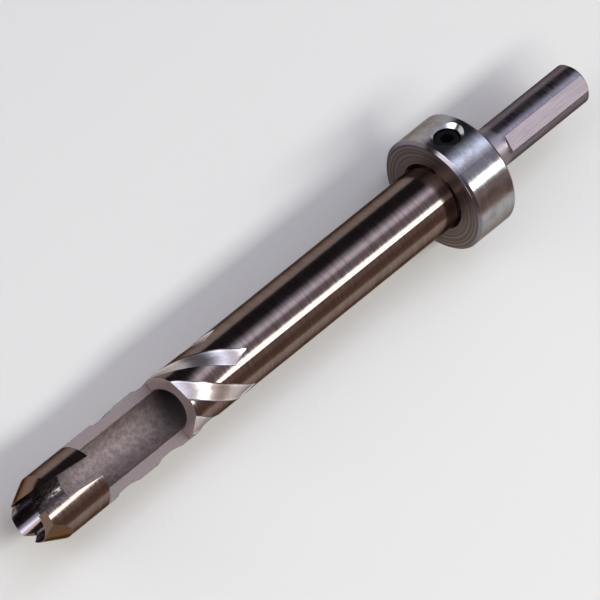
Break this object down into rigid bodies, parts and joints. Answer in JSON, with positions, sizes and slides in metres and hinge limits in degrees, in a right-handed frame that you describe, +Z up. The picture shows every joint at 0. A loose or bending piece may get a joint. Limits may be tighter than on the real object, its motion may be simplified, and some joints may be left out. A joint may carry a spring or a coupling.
{
  "type": "plug cutter",
  "caption": "Barrel plug cutter with a toothed hollow head, a milled window, spiral chip grooves, a round shank and an adjustable stop collar held by a socket set screw.",
  "frame": {"origin": "under the middle of the tool's length, on the plane that the stop collar touches; the tool's axis is 14 mm above it", "axes": "+X along the tool from the cutting tip to the shank's end, +Z up and square to the open window, +Y to the left when looking along +X"},
  "size_m": [0.1782, 0.028, 0.028],
  "materials": {
    "cutter_steel": "ground and polished tool steel, matt where it is bored and milled",
    "collar_steel": "fine-turned bright steel",
    "screw_steel": "black oxide"
  },
  "bodies": {
    "cutter": {"cutter_body": "cutter_steel"},
    "collar": {"stop_collar": "collar_steel"},
    "screw": {"set_screw": "screw_steel"}
  },
  "joints": [
    {"name": "collar_slide", "type": "slide", "parent": "cutter", "child": "collar", "axis": [-1, 0, 0], "range_m": [0, 0.065]},
    {"name": "screw_turn", "type": "hinge", "parent": "collar", "child": "screw", "pos_m": [0.0484, 0.00634, 0.02212], "axis": [0, 0.6157, 0.788], "range_deg": [0, 360]}
  ]
}
